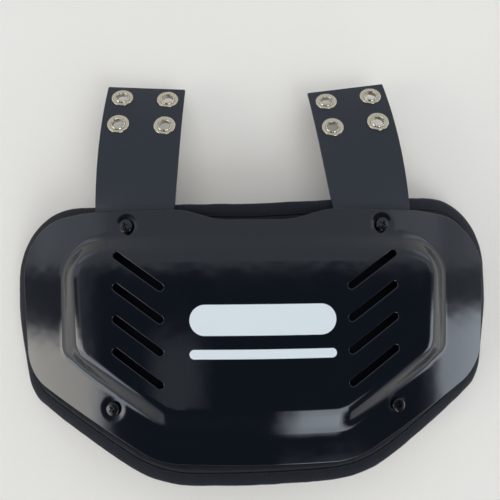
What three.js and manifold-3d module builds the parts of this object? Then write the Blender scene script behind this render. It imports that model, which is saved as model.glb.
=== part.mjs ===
// Football back plate: a glossy moulded shell over a bound foam pad, with two eyeleted straps.
// Millimetres. It lies with its hollow side down, +Z up, +Y towards the straps, +X to the right.
import * as THREE from 'three';
import { mergeVertices } from 'three/addons/utils/BufferGeometryUtils.js';
import Module from 'manifold-3d';

const wasm = await Module();
wasm.setup();

// Wrap of the plate round the back, measured on the outer face of the shell's flange
const wrapRadius = 330;
const lengthwiseRadius = 2200;
const fitGap = 0.3;

// Shell, its sizes taken across the corners before they are rounded
const shellWidth = 363;
const shellTop = 94.5;
const shellBottom = -81.7;
const shellWall = 3;

// Raised middle of the shell: its top face, and the foot of the step round it
const panelWidth = 246;
const panelTop = 66;
const panelBottom = -48;
const panelRise = 6;
const panelSideRise = 10.5;
const footWidth = 293;
const footTop = 74;
const footBottom = -56.5;

// Slanted vents, a column on each side
const ventCount = 4;
const ventPitch = 22.1;
const ventSpan = 38.2;
const ventWidth = 5;
const ventSlant = THREE.MathUtils.degToRad(35.3);
const ventInnerX = 64;
const ventInnerY = -26.3;

// Foam pad, which lies a little turned and shifted on the shell, and the tape that binds its edge
const padWidth = 383.8;
const padTop = 102.6;
const padBottom = -98.3;
const padThickness = 10;
const padPinch = 2.7;
const padPinchWidth = 14;
const padTwist = THREE.MathUtils.degToRad(1.25);
const padShift = 1.2;
const bindingWidth = 10;
const bindingThickness = 5;
const bindingDroop = 0.5;
const settle = 1.2;

// Straps, each swung a little about its upper screw
const strapWidth = 60.5;
const strapThickness = 2.2;
const strapTuck = 16;
const strapCovered = 13.5;
const strapLength = 107;
const strapInboard = 3;
const strapLeanLeft = THREE.MathUtils.degToRad(2.3);
const strapLeanRight = THREE.MathUtils.degToRad(6.8);
const strapStartSlope = THREE.MathUtils.degToRad(10);
const strapEndSlope = THREE.MathUtils.degToRad(32.5);
const strapBend = 1.2;
const strapLevelling = 3;
const strapCornerRound = 2;

// Eyelets, two rows of two near the end of each strap
const eyeletOuter = 16.6;
const eyeletHole = 8.6;
const eyeletBarrel = 11.2;
const eyeletRim = 1.3;
const eyeletBack = 15;
const eyeletBackRim = 0.8;
const eyeletSpacing = 35;
const eyeletRowGap = 26.2;
const eyeletEndGap = 12.5;

// Screws and the shallow dimples that they sit in
const screwHead = 10;
const screwHeadHeight = 2.4;
const screwShank = 4.4;
const screwLength = 9;
const screwRecess = 5.4;
const screwRecessBar = 1.3;
const screwRecessDepth = 1.1;
const dimpleWidth = 20;
const dimpleDepth = 1;
const upperScrew = { x: 91.5, y: 83.3 };
const lowerScrew = { x: 101, y: -45.5 };

// How finely the round shapes are faceted, and how near two directions may be to parallel
const loopPoints = 72;
const roundSides = 12;
const strapSteps = 10;
const strapStrips = 5;
const ventCurveSteps = 4;
const strapPathSteps = 24;
const arcStep = THREE.MathUtils.degToRad(5);
const parallel = 1e-9;

// Half outlines from the middle of the upper edge to the middle of the lower edge.
// across is a share of the half width, up of the height, and round, a corner's radius, of the height.
const shellCorners = [
  { across: 0, up: 0.955, round: 0 },
  { across: 0.143, up: 0.955, round: 0.34 },
  { across: 0.287, up: 1, round: 0.34 },
  { across: 0.672, up: 1, round: 0.5 },
  { across: 1, up: 0.955, round: 0.25 },
  { across: 0.947, up: 0.316, round: 0.19 },
  { across: 0.374, up: 0, round: 0.34 },
  { across: 0, up: 0, round: 0 },
];
const padCorners = [
  { across: 0, up: 0.981, round: 0 },
  { across: 0.683, up: 1, round: 0.8 },
  { across: 1, up: 1, round: 0.27 },
  { across: 1, up: 0.599, round: 0.6 },
  { across: 0.935, up: 0.294, round: 0.15 },
  { across: 0.392, up: 0, round: 0.5 },
  { across: 0, up: 0, round: 0 },
];
const panelCorners = [
  { across: 0, up: 1, round: 0 },
  { across: 1, up: 1, round: 0.175 },
  { across: 0.96, up: 0.377, round: 0.1 },
  { across: 0.447, up: 0, round: 0.09 },
  { across: 0, up: 0, round: 0 },
];
const footCorners = [
  { across: 0, up: 1, round: 0 },
  { across: 1, up: 1, round: 0.215 },
  { across: 0.986, up: 0.352, round: 0.11 },
  { across: 0.44, up: 0, round: 0.1 },
  { across: 0, up: 0, round: 0 },
];

// Profile of a screw's head: out is a share of its radius, up of its height
const screwHeadProfile = [
  { out: 1, up: 0 },
  { out: 1, up: 0.35 },
  { out: 0.85, up: 0.75 },
  { out: 0.5, up: 1 },
  { out: 0, up: 1 },
];

// Rows of the pad's edge: in is the share of the pinched width that a row lies inside the binding,
// thin the share of the pinch that it keeps.
const padRows = [
  { in: 0, thin: 1 },
  { in: 0.35, thin: 0.5 },
  { in: 1, thin: 0 },
];

// Section of the binding: in is a share of its width from the outer edge, lift of its half thickness
const bindingSection = [
  { in: 1, lift: -0.7 },
  { in: 1, lift: 0.7 },
  { in: 0.7, lift: 1 },
  { in: 0.25, lift: 0.9 },
  { in: 0, lift: 0.4 },
  { in: 0, lift: -0.4 },
  { in: 0.25, lift: -0.9 },
  { in: 0.7, lift: -1 },
];

// Shares of the inner outline at which a face gets a further loop of points
const panelShares = [0.35, 0.7];
const padShares = [0.4, 0.75];

// Materials
const moulded = new THREE.MeshStandardMaterial({ color: 0x0c0d10, roughness: 0.12, metalness: 0 });
const fabric = new THREE.MeshStandardMaterial({ color: 0x16171b, roughness: 0.9, metalness: 0 });
const tape = new THREE.MeshStandardMaterial({ color: 0x1a1b20, roughness: 0.85, metalness: 0 });
const webbing = new THREE.MeshStandardMaterial({ color: 0x1d1e22, roughness: 0.55, metalness: 0 });
const nickel = new THREE.MeshStandardMaterial({ color: 0xc9c4b6, roughness: 0.25, metalness: 1 });
const blackSteel = new THREE.MeshStandardMaterial({ color: 0x101113, roughness: 0.2, metalness: 0.6 });

// Closed solids and booleans

function solidOf(geometry) {
  const bare = geometry.clone();
  bare.deleteAttribute('normal');
  bare.deleteAttribute('uv');
  const merged = mergeVertices(bare, 1e-4);
  const mesh = new wasm.Mesh({
    numProp: 3,
    vertProperties: new Float32Array(merged.attributes.position.array),
    triVerts: new Uint32Array(merged.index.array),
  });
  return new wasm.Manifold(mesh);
}

function geometryOf(solid) {
  const mesh = solid.getMesh();
  const geometry = new THREE.BufferGeometry();
  geometry.setAttribute('position', new THREE.BufferAttribute(new Float32Array(mesh.vertProperties), 3));
  geometry.setIndex(new THREE.BufferAttribute(new Uint32Array(mesh.triVerts), 1));
  geometry.computeVertexNormals();
  return geometry;
}

function cut(geometry, cutters) {
  const solid = cutters.reduce((whole, cutter) => whole.subtract(solidOf(cutter)), solidOf(geometry));
  return geometryOf(solid);
}

// Joins loops of points into quads, each loop to the next; both are closed when they wrap round.
function joinLoops(loops, closed) {
  const count = loops[0].length;
  const faces = [];
  const last = closed ? loops.length : loops.length - 1;
  for (let i = 0; i < last; i++) {
    const here = i * count;
    const next = ((i + 1) % loops.length) * count;
    for (let j = 0; j < count; j++) {
      const k = (j + 1) % count;
      faces.push(here + j, here + k, next + k, here + j, next + k, next + j);
    }
  }
  return faces;
}

function geometryFrom(points, faces) {
  const geometry = new THREE.BufferGeometry();
  geometry.setAttribute('position', new THREE.Float32BufferAttribute(points.flatMap((p) => [p.x, p.y, p.z]), 3));
  geometry.setIndex(faces);
  return geometry;
}

// A lens-like body: loops that run outward over the top, round the edge and inward underneath.
function lensBody(topCentre, loops, bottomCentre) {
  const count = loops[0].length;
  const points = [...loops.flat(), topCentre, bottomCentre];
  const faces = joinLoops(loops, false);
  const topIndex = points.length - 2;
  const bottomIndex = points.length - 1;
  const lastLoop = (loops.length - 1) * count;
  for (let j = 0; j < count; j++) {
    const k = (j + 1) % count;
    faces.push(topIndex, k, j, bottomIndex, lastLoop + j, lastLoop + k);
  }
  return geometryFrom(points, faces);
}

// Outlines in plan

function halfOutline(corners, width, bottom, top) {
  const height = top - bottom;
  const nodes = corners.map((c) => ({
    at: new THREE.Vector2((c.across * width) / 2, bottom + c.up * height),
    radius: c.round * height,
  }));
  const points = [nodes[0].at];
  for (let i = 1; i < nodes.length - 1; i++) {
    points.push(...roundedCorner(nodes[i - 1].at, nodes[i].at, nodes[i + 1].at, nodes[i].radius));
  }
  points.push(nodes[nodes.length - 1].at);
  return points;
}

function roundedCorner(before, corner, after, radius) {
  const back = before.clone().sub(corner).normalize();
  const ahead = after.clone().sub(corner).normalize();
  const half = Math.acos(THREE.MathUtils.clamp(back.dot(ahead), -1, 1)) / 2;
  const centre = back.clone().add(ahead).normalize().multiplyScalar(radius / Math.sin(half)).add(corner);
  const start = back.clone().multiplyScalar(radius / Math.tan(half)).add(corner).sub(centre);
  const end = ahead.clone().multiplyScalar(radius / Math.tan(half)).add(corner).sub(centre);
  const sweep = Math.atan2(start.cross(end), start.dot(end));
  const steps = Math.max(2, Math.ceil(Math.abs(sweep) / arcStep));
  const arc = [];
  for (let i = 0; i <= steps; i++) {
    arc.push(start.clone().rotateAround(new THREE.Vector2(), (sweep * i) / steps).add(centre));
  }
  return arc;
}

// The whole outline, clockwise seen from above, starting at the middle of the upper edge.
function outline(corners, width, bottom, top) {
  const right = halfOutline(corners, width, bottom, top);
  const left = right.slice(1, -1).reverse().map((p) => new THREE.Vector2(-p.x, p.y));
  return [...right, ...left];
}

function inset(points, distance) {
  return points.map((p, i) => {
    const before = points[(i + points.length - 1) % points.length];
    const after = points[(i + 1) % points.length];
    const along = after.clone().sub(before).normalize();
    return new THREE.Vector2(p.x + along.y * distance, p.y - along.x * distance);
  });
}

// Points of an outline at the given bearings from the plate's middle
function atBearings(points, bearings) {
  return bearings.map((bearing) => {
    const ray = new THREE.Vector2(Math.cos(bearing), Math.sin(bearing));
    let reach = 0;
    points.forEach((p, i) => {
      const a = p.clone().sub(middle);
      const b = points[(i + 1) % points.length].clone().sub(middle);
      const edge = b.clone().sub(a);
      const turn = ray.cross(edge);
      if (Math.abs(turn) < parallel) return;
      const share = a.cross(ray) / turn;
      const distance = a.cross(edge) / turn;
      if (share >= -parallel && share <= 1 + parallel && distance > reach) reach = distance;
    });
    return ray.multiplyScalar(reach).add(middle);
  });
}

function evenBearings(points, count) {
  const path = new THREE.Path();
  path.setFromPoints([...points, points[0]]);
  return path.getSpacedPoints(count).slice(0, count).map((p) => Math.atan2(p.y - middle.y, p.x - middle.x));
}

const middle = new THREE.Vector2(0, (panelTop + panelBottom) / 2);
const padOutline = outline(padCorners, padWidth, padBottom, padTop)
  .map((p) => p.rotateAround(middle, padTwist).setX(p.x + padShift));
const shellOutline = outline(shellCorners, shellWidth, shellBottom, shellTop);
const panelOutline = outline(panelCorners, panelWidth, panelBottom, panelTop);
const footOutline = outline(footCorners, footWidth, footBottom, footTop);
const bearings = evenBearings(padOutline, loopPoints);

// The wrapped surface: lift is the distance above the flange's outer face, along its normal.

function wrapNormal(x, y) {
  const drop = Math.sqrt(wrapRadius ** 2 - x ** 2);
  return new THREE.Vector3(x / drop, y / lengthwiseRadius, 1).normalize();
}

function onWrap(x, y, lift) {
  const z = Math.sqrt(wrapRadius ** 2 - x ** 2) - wrapRadius - y ** 2 / (2 * lengthwiseRadius);
  return new THREE.Vector3(x, y, z).addScaledVector(wrapNormal(x, y), lift);
}

function wrapLoop(planPoints, lift) {
  return planPoints.map((p) => onWrap(p.x, p.y, typeof lift === 'function' ? lift(p) : lift));
}

// A frame on the wrap, local Z along the normal and local X across the plate
function wrapPlace(x, y, lift) {
  const up = wrapNormal(x, y);
  const across = new THREE.Vector3(1, 0, 0).addScaledVector(up, -up.x).normalize();
  const along = up.clone().cross(across);
  return new THREE.Matrix4().makeBasis(across, along, up).setPosition(onWrap(x, y, lift));
}

// The raised middle is flatter than the flange, so it stands higher towards its sides.
function panelLift(p) {
  return panelRise + (panelSideRise - panelRise) * (p.x / (panelWidth / 2)) ** 2;
}

// Shell

function shrink(points, share) {
  return points.map((p) => p.clone().sub(middle).multiplyScalar(share).add(middle));
}

function between(inner, outer, share) {
  return inner.map((p, i) => p.clone().lerp(outer[i], share));
}

function shellBody() {
  const panel = atBearings(panelOutline, bearings);
  const foot = atBearings(footOutline, bearings);
  const edge = atBearings(shellOutline, bearings);
  const loops = (drop) => [
    ...panelShares.map((share) => wrapLoop(shrink(panel, share), (p) => panelLift(p) - drop)),
    wrapLoop(panel, (p) => panelLift(p) - drop),
    wrapLoop(foot, -drop),
    wrapLoop(between(foot, edge, 0.5), -drop),
    wrapLoop(edge, -drop),
  ];
  return lensBody(
    onWrap(middle.x, middle.y, panelRise),
    [...loops(0), ...loops(shellWall).reverse()],
    onWrap(middle.x, middle.y, panelRise - shellWall),
  );
}

function ventCutter(side, index) {
  const end = ventSpan / 2;
  const shape = new THREE.Shape();
  shape.absarc(end, 0, ventWidth / 2, -Math.PI / 2, Math.PI / 2, false);
  shape.absarc(-end, 0, ventWidth / 2, Math.PI / 2, (3 * Math.PI) / 2, false);
  const reach = 4 * (panelSideRise + shellWall);
  const cutter = new THREE.ExtrudeGeometry(shape, { depth: reach, bevelEnabled: false, curveSegments: ventCurveSteps });
  cutter.translate(0, 0, -reach / 2);
  cutter.rotateZ(side > 0 ? ventSlant : Math.PI - ventSlant);
  const x = side * (ventInnerX + end * Math.cos(ventSlant));
  const y = ventInnerY + index * ventPitch + end * Math.sin(ventSlant);
  return cutter.applyMatrix4(wrapPlace(x, y, panelRise));
}

const dimpleRadius = ((dimpleWidth / 2) ** 2 + dimpleDepth ** 2) / (2 * dimpleDepth);

function dimpleCutter(place) {
  const reach = Math.asin(dimpleWidth / 2 / dimpleRadius);
  const profile = [0, reach / 2, reach].map((angle) => new THREE.Vector2(
    dimpleRadius * Math.sin(angle),
    dimpleRadius * (1 - Math.cos(angle)) - dimpleDepth,
  ));
  profile.push(new THREE.Vector2(dimpleWidth / 2, panelSideRise));
  profile.push(new THREE.Vector2(0, panelSideRise));
  return uprightLathe(profile, roundSides).applyMatrix4(place);
}

// A lathed body whose axis is Z
function uprightLathe(profile, sides) {
  return new THREE.LatheGeometry(profile, sides).rotateX(Math.PI / 2);
}

// A round hole that ends at the given depth below its place
function boreCutter(place, width, depth) {
  const bore = new THREE.CylinderGeometry(width / 2, width / 2, 2 * depth, roundSides);
  return bore.rotateX(Math.PI / 2).applyMatrix4(place);
}

// Screws

const screwPlaces = [
  { name: 'screw_upper_left', x: -upperScrew.x, y: upperScrew.y },
  { name: 'screw_upper_right', x: upperScrew.x, y: upperScrew.y },
  { name: 'screw_lower_left', x: -lowerScrew.x, y: lowerScrew.y },
  { name: 'screw_lower_right', x: lowerScrew.x, y: lowerScrew.y },
];

function screwBody(place) {
  const head = screwHead / 2;
  const shank = screwShank / 2;
  const profile = [
    new THREE.Vector2(0, -screwLength),
    new THREE.Vector2(shank, -screwLength),
    new THREE.Vector2(shank, 0),
    ...screwHeadProfile.map((s) => new THREE.Vector2(head * s.out, screwHeadHeight * s.up)),
  ];
  const arm = screwRecess / 2;
  const bar = screwRecessBar / 2;
  const cross = new THREE.Shape([
    [arm, -bar], [arm, bar], [bar, bar], [bar, arm], [-bar, arm], [-bar, bar],
    [-arm, bar], [-arm, -bar], [-bar, -bar], [-bar, -arm], [bar, -arm], [bar, -bar],
  ].map(([x, y]) => new THREE.Vector2(x, y)));
  const recess = new THREE.ExtrudeGeometry(cross, { depth: screwHeadHeight, bevelEnabled: false });
  recess.translate(0, 0, screwHeadHeight - screwRecessDepth);
  return cut(uprightLathe(profile, roundSides), [recess]).applyMatrix4(place);
}

// The head's underside stays clear of the dimple's curved floor.
function screwSeat(spot) {
  const floorUnderHead = (screwHead / 2) ** 2 / (2 * dimpleRadius) - dimpleDepth;
  return wrapPlace(spot.x, spot.y, floorUnderHead + fitGap);
}

// Straps: tucked under the shell, they follow the wrap, and past its edge they bend down and
// lose the wrap's tilt to the side.

function strapPoint(strap, across, along, lift) {
  const ahead = new THREE.Vector3(-strap.side * Math.sin(strap.lean), Math.cos(strap.lean), 0);
  const sideways = new THREE.Vector3(ahead.y, -ahead.x, 0);
  const reach = strapCovered + Math.min(along, 0);
  const x = strap.side * (upperScrew.x - strapInboard) + ahead.x * reach;
  const y = upperScrew.y + ahead.y * reach;
  if (along <= 0) return onWrap(x + sideways.x * across, y + sideways.y * across, strapFace + lift);
  const path = strapPath(along);
  const start = onWrap(x, y, strapFace);
  const level = 1 - (1 - along / strapLength) ** strapLevelling;
  const bow = onWrap(x + sideways.x * across, y + sideways.y * across, strapFace).sub(start);
  bow.lerp(sideways.clone().multiplyScalar(across), level);
  const tilt = sideways.clone().addScaledVector(wrapNormal(x, y), -sideways.dot(wrapNormal(x, y)));
  const alongWay = ahead.clone().multiplyScalar(Math.cos(path.slope)).setZ(-Math.sin(path.slope));
  const up = tilt.normalize().lerp(sideways, level).cross(alongWay).normalize();
  return start
    .add(bow)
    .addScaledVector(ahead, path.run)
    .add(new THREE.Vector3(0, 0, -path.drop))
    .addScaledVector(up, lift);
}

// Run, drop and slope of a strap's middle line at a distance past the shell's edge
function strapPath(along) {
  const slopeAt = (s) => strapStartSlope + (strapEndSlope - strapStartSlope) * (s / strapLength) ** strapBend;
  let run = 0;
  let drop = 0;
  for (let i = 0; i < strapPathSteps; i++) {
    const slope = slopeAt(((i + 0.5) * along) / strapPathSteps);
    run += (Math.cos(slope) * along) / strapPathSteps;
    drop += (Math.sin(slope) * along) / strapPathSteps;
  }
  return { run, drop, slope: slopeAt(along) };
}

function strapBody(strap, grow) {
  const tucked = -(strapTuck + strapCovered) - grow;
  const stations = [tucked, tucked / 2, 0];
  for (let i = 1; i < strapSteps; i++) stations.push((strapLength * i) / strapSteps);
  stations.push(strapLength - strapCornerRound);
  const half = strapWidth / 2 + grow;
  const loops = stations.map((along) => strapSection(strap, along, half, grow));
  loops.push(strapSection(strap, strapLength, half - strapCornerRound, grow));
  const count = loops[0].length;
  const faces = joinLoops(loops, false);
  capLoop(faces, 0, count, false);
  capLoop(faces, (loops.length - 1) * count, count, true);
  return geometryFrom(loops.flat(), faces);
}

// A section's points: its upper face from left to right, then its lower face back. A grown section
// grows twice as far upward, so that it opens the face of the pad under it.
function strapSection(strap, along, half, grow) {
  const spots = Array.from({ length: strapStrips + 1 }, (_, j) => half * ((2 * j) / strapStrips - 1));
  const upper = spots.map((across) => strapPoint(strap, across, along, 2 * grow));
  const lower = spots.reverse().map((across) => strapPoint(strap, across, along, -strapThickness - grow));
  return [...upper, ...lower];
}

// Closes a flat strip section, whose upper and lower points run in opposite orders
function capLoop(faces, first, count, flip) {
  for (let j = 0; j < count / 2 - 1; j++) {
    const a = first + j;
    const b = first + j + 1;
    const c = first + count - 2 - j;
    const d = first + count - 1 - j;
    if (flip) faces.push(a, b, c, a, c, d);
    else faces.push(a, c, b, a, d, c);
  }
}

const strapFace = -(shellWall + 2 * fitGap);
const straps = [
  { name: 'left', side: -1, lean: strapLeanLeft },
  { name: 'right', side: 1, lean: strapLeanRight },
];

// Eyelets

function eyeletSpots() {
  const rows = [strapLength - eyeletEndGap, strapLength - eyeletEndGap - eyeletRowGap];
  return rows.flatMap((along) => [-1, 1].map((way) => ({ across: (way * eyeletSpacing) / 2, along })));
}

function eyeletPlace(strap, spot) {
  const at = strapPoint(strap, spot.across, spot.along, 0);
  const above = strapPoint(strap, spot.across, spot.along, 1);
  const ahead = strapPoint(strap, spot.across, spot.along + 0.01, 0);
  const up = above.sub(at).normalize();
  const along = ahead.sub(at).normalize();
  const across = along.clone().cross(up).normalize();
  return new THREE.Matrix4().makeBasis(across, up.clone().cross(across), up).setPosition(at);
}

// A rim above the strap, a barrel through it and a rolled rim below, in one lathed ring
function eyeletBody(place) {
  const hole = eyeletHole / 2;
  const barrel = eyeletBarrel / 2;
  const outer = eyeletOuter / 2;
  const back = eyeletBack / 2;
  const above = fitGap;
  const below = -(strapThickness + 2 * fitGap);
  const ring = [
    [hole, below - eyeletBackRim],
    [back, below - eyeletBackRim],
    [back, below],
    [barrel, below],
    [barrel, above],
    [outer, above],
    [(outer + barrel) / 2, above + eyeletRim],
    [(hole + barrel) / 2, above + eyeletRim],
    [hole, above],
    [hole, below - eyeletBackRim],
  ].map(([r, z]) => new THREE.Vector2(r, z));
  return uprightLathe(ring, roundSides).applyMatrix4(place);
}

// Foam pad and its binding

function padBody() {
  const rows = padRows.map((row) => {
    const plan = atBearings(inset(padOutline, bindingWidth + fitGap + row.in * padPinchWidth), bearings);
    const top = -(shellWall + fitGap) - padPinch * row.thin;
    const bottom = -(shellWall + fitGap + padThickness) + padPinch * row.thin;
    return { plan, top, bottom };
  });
  const inner = rows[rows.length - 1];
  const inside = padShares.map((share) => ({ ...inner, plan: shrink(inner.plan, share) }));
  const all = [...inside, ...[...rows].reverse()];
  return lensBody(
    onWrap(middle.x, middle.y, inner.top),
    [...all.map((r) => wrapLoop(r.plan, r.top)), ...[...all].reverse().map((r) => wrapLoop(r.plan, r.bottom))],
    onWrap(middle.x, middle.y, inner.bottom),
  );
}

function bindingLoops() {
  const centre = -(shellWall + fitGap + padThickness / 2 + bindingDroop);
  const half = bindingThickness / 2;
  return bindingSection.map((s) => {
    const plan = atBearings(inset(padOutline, s.in * bindingWidth), bearings);
    return wrapLoop(plan, centre + s.lift * half);
  });
}

// The soft edge flattens where it carries the plate.
function settled(loops) {
  const lowest = Math.min(...loops.flat().map((p) => p.z));
  return loops.map((loop) => loop.map((p) => p.clone().setZ(Math.max(p.z, lowest + settle))));
}

function bindingBody() {
  const loops = settled(bindingLoops());
  return geometryFrom(loops.flat(), joinLoops(loops, true));
}

// Assembly

const plate = new THREE.Group();

function addPiece(name, geometry, material) {
  const piece = new THREE.Mesh(geometry, material);
  piece.name = name;
  plate.add(piece);
}

const seats = screwPlaces.map((spot) => screwSeat(spot));
const vents = [-1, 1].flatMap((side) => Array.from({ length: ventCount }, (_, i) => ventCutter(side, i)));
const dimples = screwPlaces.map((spot) => dimpleCutter(wrapPlace(spot.x, spot.y, 0)));
const strapBeds = straps.map((strap) => strapBody(strap, fitGap));
const bores = seats.map((seat) => boreCutter(seat, screwShank + 2 * fitGap, screwLength + fitGap));

addPiece('shell', cut(shellBody(), [...vents, ...dimples, ...bores]), moulded);
addPiece('pad', cut(padBody(), [...bores, ...strapBeds]), fabric);
addPiece('pad_binding', cut(bindingBody(), strapBeds), tape);
for (const strap of straps) {
  const places = eyeletSpots().map((spot) => eyeletPlace(strap, spot));
  const holes = places.map((place) => boreCutter(place, eyeletBarrel + 2 * fitGap, 2 * strapThickness));
  addPiece(`strap_${strap.name}`, cut(strapBody(strap, 0), [...bores, ...holes]), webbing);
  places.forEach((place, i) => addPiece(`eyelet_${strap.name}_${i + 1}`, eyeletBody(place), nickel));
}
screwPlaces.forEach((spot, i) => addPiece(spot.name, screwBody(seats[i]), blackSteel));

// The plate stands on the floor, centred over its middle.
const bounds = new THREE.Box3().setFromObject(plate);
plate.position.set(-(bounds.min.x + bounds.max.x) / 2, -(bounds.min.y + bounds.max.y) / 2, -bounds.min.z);
plate.updateMatrixWorld(true);

export default plate;
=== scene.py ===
# Football back plate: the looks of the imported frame. Metres, +Z up, +Y towards the straps.

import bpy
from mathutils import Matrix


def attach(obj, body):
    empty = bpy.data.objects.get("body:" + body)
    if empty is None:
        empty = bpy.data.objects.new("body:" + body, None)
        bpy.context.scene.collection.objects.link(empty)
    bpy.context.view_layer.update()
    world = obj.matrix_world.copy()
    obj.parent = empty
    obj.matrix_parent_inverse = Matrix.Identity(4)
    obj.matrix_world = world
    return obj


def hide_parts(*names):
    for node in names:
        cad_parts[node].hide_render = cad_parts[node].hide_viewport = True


bl_info = {
    "name": "Football Back Plate",
    "version": (1, 0, 0),
    "blender": (4, 5, 0),
    "location": "3D View > Sidebar > Back Plate",
    "description": "Builds a football back plate: moulded shell, foam pad, straps, eyelets and screws",
    "category": "Add Mesh",
}

from collections import namedtuple
from math import acos, atan2, cos, pi, radians, sin, tan

import bpy
import numpy as np
from bpy.props import FloatProperty, FloatVectorProperty, IntProperty, PointerProperty
from mathutils import Matrix, Vector, noise
from mathutils.geometry import delaunay_2d_cdt
from mathutils.kdtree import KDTree

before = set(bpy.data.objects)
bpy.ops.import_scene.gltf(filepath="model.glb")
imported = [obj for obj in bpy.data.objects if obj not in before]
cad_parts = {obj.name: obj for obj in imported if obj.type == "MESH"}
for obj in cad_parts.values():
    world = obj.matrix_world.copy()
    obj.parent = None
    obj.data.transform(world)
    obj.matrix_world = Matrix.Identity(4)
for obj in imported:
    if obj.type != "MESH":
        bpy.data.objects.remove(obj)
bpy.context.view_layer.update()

# Plan shapes: across is a share of the half width, up of the height, round of the height

Corner = namedtuple("Corner", "across up round")

SHELL_CORNERS = (
    Corner(0, 0.955, 0),
    Corner(0.143, 0.955, 0.34),
    Corner(0.287, 1, 0.34),
    Corner(0.672, 1, 0.5),
    Corner(1, 0.955, 0.25),
    Corner(0.947, 0.316, 0.19),
    Corner(0.374, 0, 0.34),
    Corner(0, 0, 0),
)
PAD_CORNERS = (
    Corner(0, 0.981, 0),
    Corner(0.683, 1, 0.8),
    Corner(1, 1, 0.27),
    Corner(1, 0.599, 0.6),
    Corner(0.935, 0.294, 0.15),
    Corner(0.392, 0, 0.5),
    Corner(0, 0, 0),
)
PANEL_CORNERS = (
    Corner(0, 1, 0),
    Corner(1, 1, 0.175),
    Corner(0.96, 0.377, 0.1),
    Corner(0.447, 0, 0.09),
    Corner(0, 0, 0),
)
FOOT_CORNERS = (
    Corner(0, 1, 0),
    Corner(1, 1, 0.215),
    Corner(0.986, 0.352, 0.11),
    Corner(0.44, 0, 0.1),
    Corner(0, 0, 0),
)


def srgb(code):
    """A linear colour from its sRGB hex code."""
    parts = [int(code[i : i + 2], 16) / 255 for i in (0, 2, 4)]
    return tuple(v / 12.92 if v <= 0.04045 else ((v + 0.055) / 1.055) ** 2.4 for v in parts)


# Sizes and colours


def length(name, about, value):
    return FloatProperty(name=name, description=about, default=value, unit="LENGTH", precision=5)


def angle(name, about, degrees):
    return FloatProperty(name=name, description=about, default=radians(degrees), unit="ROTATION")


def colour(name, about, code):
    return FloatVectorProperty(
        name=name, description=about, default=srgb(code), subtype="COLOR", size=3, min=0, max=1
    )


class WrapSizes(bpy.types.PropertyGroup):
    """How the plate wraps round the back, measured on the outer face of the shell's flange"""

    crown: FloatVectorProperty(
        name="Crown",
        description="Place of the wrap's crown in the frame",
        default=(-0.00049, -0.05004, 0.06913),
        subtype="TRANSLATION",
        unit="LENGTH",
        precision=5,
    )
    radius: length("Radius across", "Radius of the wrap round the back", 0.330)
    lengthwise: length("Radius along", "Radius of the slight bow along the back", 2.2)
    fit_gap: length("Fit gap", "Clearance between pieces that touch", 0.0003)


class ShellSizes(bpy.types.PropertyGroup):
    """The moulded shell"""

    width: length("Width", "Width before the corners are rounded", 0.363)
    top: length("Top", "Upper edge above the plate's origin", 0.0945)
    bottom: length("Bottom", "Lower edge above the plate's origin", -0.0817)
    wall: length("Wall", "Thickness of the moulding", 0.003)
    wide_trim: length("Wide trim", "How much further out the edge is trimmed at one side", 0.0032)
    edge_round: length("Edge round", "Radius of the outer edge", 0.0007)
    panel_width: length("Panel width", "Width of the raised middle", 0.246)
    panel_top: length("Panel top", "Upper edge of the raised middle", 0.066)
    panel_bottom: length("Panel bottom", "Lower edge of the raised middle", -0.048)
    panel_rise: length("Panel rise", "Height of the raised middle at its centre", 0.006)
    panel_side_rise: length("Side rise", "Height of the raised middle at its sides", 0.0105)
    foot_width: length("Foot width", "Width at the foot of the step", 0.293)
    foot_top: length("Foot top", "Upper foot of the step", 0.074)
    foot_bottom: length("Foot bottom", "Lower foot of the step", -0.0565)
    narrow_step: length("Narrow step", "Width up to which the step counts as narrow", 0.0085)
    spare_step: length("Spare step", "Growth in width until the step counts as wide", 0.011)
    soft_bend: length("Soft bend", "How far a narrow step's bends run on beyond its edges", 0.0055)
    bend: length("Bend", "Stretch over which a narrow step bends at each edge", 0.0065)
    bend_growth: FloatProperty(
        name="Bend growth", description="Share of the spare width that is added to the bend", default=0.12
    )


class VentSizes(bpy.types.PropertyGroup):
    """The slanted vents, a column on each side"""

    count: IntProperty(name="Count", description="Vents on each side", default=4, min=1, max=8)
    pitch: length("Pitch", "Distance from vent to vent", 0.0221)
    span: length("Span", "Distance between the centres of a vent's round ends", 0.0382)
    width: length("Width", "Width of a vent", 0.005)
    slant: angle("Slant", "Rise of a vent towards the plate's side", 35.3)
    inner_x: length("Inner end across", "Inner end of a vent from the plate's middle", 0.064)
    inner_y: length("Inner end up", "Inner end of the lowest vent", -0.0263)


class PadSizes(bpy.types.PropertyGroup):
    """The foam pad and its binding"""

    width: length("Width", "Width before the corners are rounded", 0.3838)
    top: length("Top", "Upper edge above the plate's origin", 0.1026)
    bottom: length("Bottom", "Lower edge above the plate's origin", -0.0983)
    thickness: length("Thickness", "Foam and covers together", 0.010)
    pinch: length("Pinch", "How far each face sinks at the seam", 0.0027)
    pinch_width: length("Pinch width", "Width over which a face sinks to the seam", 0.014)
    twist: angle("Twist", "Turn of the pad under the shell", 1.25)
    shift: length("Shift", "Sideways shift of the pad under the shell", 0.0012)
    seam_gap: length("Seam gap", "Gap between the tape and the pad's face", 0.00003)
    binding_width: length("Binding width", "Width of the folded tape", 0.010)
    binding_thickness: length("Binding thickness", "Thickness over the folded tape", 0.005)
    binding_droop: length("Binding droop", "How far the tape hangs below the pad's middle", 0.0005)
    stitch: length("Stitch", "Length of a stitch", 0.0042)
    thread: length("Thread", "Thickness of the sewing thread", 0.0006)


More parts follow.
